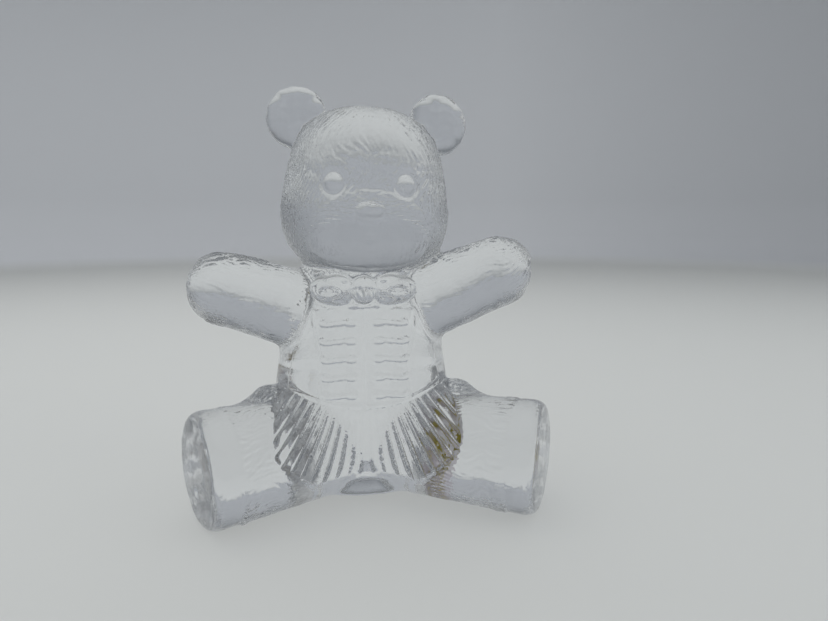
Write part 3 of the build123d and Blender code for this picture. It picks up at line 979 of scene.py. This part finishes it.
def cast_in_regions(bare, casting):
    """Every named region of the casting."""
    pieces = {}
    thin_core = swollen(bare, "thin_core", -0.12)
    vest_core = swollen(bare, "vest_core", VEST_THICKNESS - 0.1)
    pleat_core = swollen(bare, "pleat_core", SKIRT_THICKNESS)

    for name, side in SIDES.items():
        hand = hand_of(name)
        along = (hand - ARMS_MEET).normalized()
        sleeve = rod("arm_cutter", ARMS_MEET + along * 18.5, hand + along * 20, 12.2)
        pieces[f"arm_{name}"] = region(casting, outside_of(sleeve, head_form("head_core", 0.4)), "arm")
        sole, along = sole_of(name)
        leg = region(casting, rod("leg_cutter", LEGS_MEET + along * 25.5, sole + along * 10, 24.0), "leg")
        pieces[f"sole_{name}"] = region(leg, rod("sole_cutter", sole - along * 3.2, sole + along * 10, 24.0), "sole")
        pieces[f"leg_{name}"] = leg

    pieces["head"] = region(casting, block("head_cutter", (-60, -60, NECK_HEIGHT - 0.4), (60, 60, 150)), "head")
    for name, side in SIDES.items():
        ear = outside_of(ear_form(name, 0.5), head_form("head_core"))
        pieces[f"ear_{name}"] = region(pieces["head"], ear, "ear")
        pieces[f"eye_{name}"] = region(
            pieces["head"], ball("eye_cutter", eye_at(name), (EYE_RADIUS + 0.3,) * 3), "eye")
    pieces["nose"] = region(pieces["head"], nose_ball(0.4), "nose")
    pieces["muzzle"] = region(pieces["head"], muzzle_ball(0.45), "muzzle")

    for name, side in SIDES.items():
        loop = ball("loop_cutter", LOOPS[name], (6.3, 5.0, 4.5))
        pieces[f"bow_loop_{name}"] = region(casting, outside_of(loop, torso_form("neck_core", 0.9)), "bow_loop")
    pieces["bow_knot"] = region(casting, outside_of(bow_knot(0.5), torso_form("neck_core", 0.9)), "bow_knot")
    neck = block("ruff_cutter", (-40, -40, 49.0), (40, 40, 57.9))
    collar = torso_form("collar", 3.0)
    finish_with(neck, "BOOLEAN", operation="INTERSECT", object=collar, solver="MANIFOLD")
    discard(collar)
    outside_of(neck, torso_form("neck_core", -0.2))
    for name in SIDES:
        outside_of(neck, arm_form(name, 0.3))
    pieces["neck_ruff"] = region(casting, neck, "neck_ruff")

    for name, side in SIDES.items():
        front = outline_form("vest_cutter", side_outline(vest_outline(), side), -45, -3)
        layer = region(casting, outside_of(front, thin_core, keep_core=True), "vest")
        bars = []
        for key in range(BRAIDS):
            at = LOWEST_BRAID + key * BRAID_PITCH
            near, far = sorted((side * 1.2, side * 11.3))
            bars.append(block("bar", (near, -45, at - 1.35), (far, -3, at + 1.35)))
        bars = joined("bars", *bars)
        pieces[f"vest_braids_{name}"] = region(layer, outside_of(bars, vest_core, keep_core=True), "braids")
        pieces[f"vest_front_{name}"] = layer
    front = outline_form("skirt_cutter", skirt_outline(), -45, -3)
    layer = region(casting, outside_of(front, thin_core, keep_core=True), "skirt")
    whole = block("pleats_cutter", (-30, -45, 6.0), (30, -3, 24.0))
    pieces["skirt_pleats"] = region(layer, outside_of(whole, pleat_core, keep_core=True), "pleats")
    pieces["skirt"] = layer
    pieces["torso"] = casting
    discard(thin_core, vest_core, pleat_core, bare)
    return pieces


# ---------------------------------------------------------------- making the bear
GLASS = clear_glass("clear_glass", (0.975, 0.985, 1.0), 0.01, 900.0, 0.00004)
SEAM = fused_seam()

bare = bare_casting()
bare.data.materials.clear()
bare.data.materials.append(GLASS)
casting = copy_of(bare, "casting")
pressed(casting)
whole = copy_of(casting, "whole")
pick(whole)
bpy.ops.object.shade_smooth()
pieces = cast_in_regions(bare, casting)
for name, piece in pieces.items():
    finished(piece, f"glass_{name}", whole)
    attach(piece, "root")
    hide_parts(name)


# both lie just inside the glass, so that they can be seen through it from the front, as a glued label can
film = sheet_on_glass("label_film", whole, FILM_LIFT, FILM_THICKNESS, is_film)
film.data.materials.append(label_film())
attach(film, "root")
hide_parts("label_backing")
gold = sheet_on_glass("label_gold_print", whole, GOLD_LIFT, GOLD_THICKNESS, is_gold)
gold.data.materials.append(gold_print())
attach(gold, "root")
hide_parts("label_foil")
discard(whole)

# ---------------------------------------------------------------- table, light and camera
def stage_floor():
    """A round table top whose backdrop curves up all round it."""
    bpy.ops.mesh.primitive_circle_add(vertices=96, radius=TABLE_RADIUS, fill_type="NOTHING", location=(0, 0, 0))
    floor = bpy.context.object
    floor.name = "table_and_backdrop"
    bpy.ops.object.mode_set(mode="EDIT")
    bpy.ops.mesh.select_all(action="SELECT")
    height, radius = 0.0, TABLE_RADIUS
    for rise, out in ((0.004, 0.03), (0.012, 0.03), (0.03, 0.03), (0.06, 0.03), (0.3, 0.02), (0.6, 0.0)):
        bpy.ops.mesh.extrude_region_move(TRANSFORM_OT_translate={"value": (0, 0, rise)})
        height += rise
        wider = (radius + out) / radius
        bpy.ops.transform.resize(value=(wider, wider, 1.0), center_override=(0, 0, height))
        radius += out
    bpy.ops.object.mode_set(mode="OBJECT")
    points, _ = points_of(floor)
    for vertex, point in zip(floor.data.vertices, points):
        vertex.select = bool(point[2] < 0.001)
    bpy.ops.object.mode_set(mode="EDIT")
    bpy.ops.mesh.edge_face_add()
    bpy.ops.mesh.select_all(action="SELECT")
    bpy.ops.mesh.normals_make_consistent(inside=True)
    bpy.ops.object.mode_set(mode="OBJECT")
    bpy.ops.object.shade_smooth_by_angle(angle=math.radians(40))
    return floor


def stage_finish():
    """A pale table running softly into a blue-grey backdrop, with painted shade: the backdrop darker towards the
    right and the stage darker behind the camera.
    """
    material, nodes, links, output = new_material("pale_table_grey_backdrop_painted_shade")
    matt = nodes.new("ShaderNodeBsdfPrincipled")
    matt.inputs["Roughness"].default_value = 0.6
    matt.inputs["Specular IOR Level"].default_value = 0.2
    place_of = nodes.new("ShaderNodeTexCoord")
    parts = nodes.new("ShaderNodeSeparateXYZ")
    links.new(place_of.outputs["Object"], parts.inputs["Vector"])
    rise = nodes.new("ShaderNodeMapRange")
    rise.inputs["From Min"].default_value = 0.0
    rise.inputs["From Max"].default_value = 0.014
    links.new(parts.outputs["Z"], rise.inputs["Value"])
    shades = nodes.new("ShaderNodeMix")
    shades.data_type = "RGBA"
    shades.inputs["A"].default_value = (*TABLE_COLOUR, 1.0)
    links.new(rise.outputs["Result"], shades.inputs["Factor"])
    # painted shade: from x 0.3 m to 0.8 m the backdrop is mixed to a darker grey, as if less light fell on its right
    # side
    side = nodes.new("ShaderNodeMapRange")
    side.inputs["From Min"].default_value = 0.3
    side.inputs["From Max"].default_value = 0.8
    links.new(parts.outputs["X"], side.inputs["Value"])
    wall_painted_shade = nodes.new("ShaderNodeMix")
    wall_painted_shade.data_type = "RGBA"
    wall_painted_shade.inputs["A"].default_value = (*BACKDROP_COLOUR, 1.0)
    wall_painted_shade.inputs["B"].default_value = (*BACKDROP_PAINTED_SHADE_COLOUR, 1.0)
    links.new(side.outputs["Result"], wall_painted_shade.inputs["Factor"])
    links.new(wall_painted_shade.outputs["Result"], shades.inputs["B"])
    # painted shade: the stage behind the camera, below y -0.35 m, is mixed to a darker grey that stands for the
    # dimmer room there
    depth = nodes.new("ShaderNodeMapRange")
    depth.inputs["From Min"].default_value = -0.35
    depth.inputs["From Max"].default_value = -0.75
    links.new(parts.outputs["Y"], depth.inputs["Value"])
    behind = nodes.new("ShaderNodeMix")
    behind.data_type = "RGBA"
    behind.inputs["B"].default_value = (*BEHIND_CAMERA_PAINTED_SHADE_COLOUR, 1.0)
    links.new(depth.outputs["Result"], behind.inputs["Factor"])
    links.new(shades.outputs["Result"], behind.inputs["A"])
    links.new(behind.outputs["Result"], matt.inputs["Base Color"])
    links.new(matt.outputs[0], output.inputs["Surface"])
    return material


TABLE_RADIUS = 0.87
TABLE_COLOUR = (0.625, 0.635, 0.62)
BACKDROP_COLOUR = (0.70, 0.715, 0.74)
# painted shade: the darker grey of the backdrop's right side
BACKDROP_PAINTED_SHADE_COLOUR = (0.50, 0.515, 0.54)
# painted shade: the darker grey of the stage behind the camera
BEHIND_CAMERA_PAINTED_SHADE_COLOUR = (0.34, 0.35, 0.37)
floor = stage_floor()
floor.data.materials.append(stage_finish())

world = bpy.data.worlds.new("soft_room")
world.use_nodes = True
world.node_tree.nodes["Background"].inputs["Color"].default_value = (0.95, 0.97, 1.0, 1.0)
world.node_tree.nodes["Background"].inputs["Strength"].default_value = 2.4
bpy.context.scene.world = world


def soft_light(name, at, aim, size, power, colour=(1, 1, 1)):
    """A square softbox that looks at a point."""
    light = bpy.data.lights.new(name, "AREA")
    light.shape = "RECTANGLE"
    light.size, light.size_y = size
    light.energy = power
    light.color = colour
    lamp = bpy.data.objects.new(name, light)
    lamp.location = at
    lamp.rotation_euler = (Vector(aim) - Vector(at)).to_track_quat("-Z", "Y").to_euler()
    lamp.visible_glossy = False
    lamp.visible_transmission = False
    bpy.context.collection.objects.link(lamp)
    return lamp


soft_light("ceiling_softbox", (-0.2, 0.15, 0.85), (0, 0, 0.04), (0.6, 0.5), 5.2)
soft_light("side_softbox", (0.7, -0.3, 0.45), (0, 0, 0.05), (0.5, 0.5), 2.2, (0.95, 0.98, 1.0))

CAMERA_AT = Vector((-0.0066, -0.1622, 0.0709))
CAMERA_YAW = math.radians(7.4)
CAMERA_PITCH = math.radians(8.5)
camera_data = bpy.data.cameras.new("front_camera")
camera_data.lens = 26.0
camera_data.sensor_width = 36.0
camera_data.clip_start = 0.01
camera = bpy.data.objects.new("front_camera", camera_data)
camera.location = CAMERA_AT
look = Vector((
    math.sin(CAMERA_YAW) * math.cos(CAMERA_PITCH), math.cos(CAMERA_YAW) * math.cos(CAMERA_PITCH),
    -math.sin(CAMERA_PITCH)))
camera.rotation_euler = look.to_track_quat("-Z", "Y").to_euler()
bpy.context.collection.objects.link(camera)
bpy.context.scene.camera = camera

bpy.context.scene.view_settings.view_transform = "Standard"
cycles = bpy.context.scene.cycles
cycles.max_bounces = 24
cycles.transmission_bounces = 24
cycles.glossy_bounces = 8
cycles.transparent_max_bounces = 64
cycles.caustics_reflective = False
cycles.caustics_refractive = False
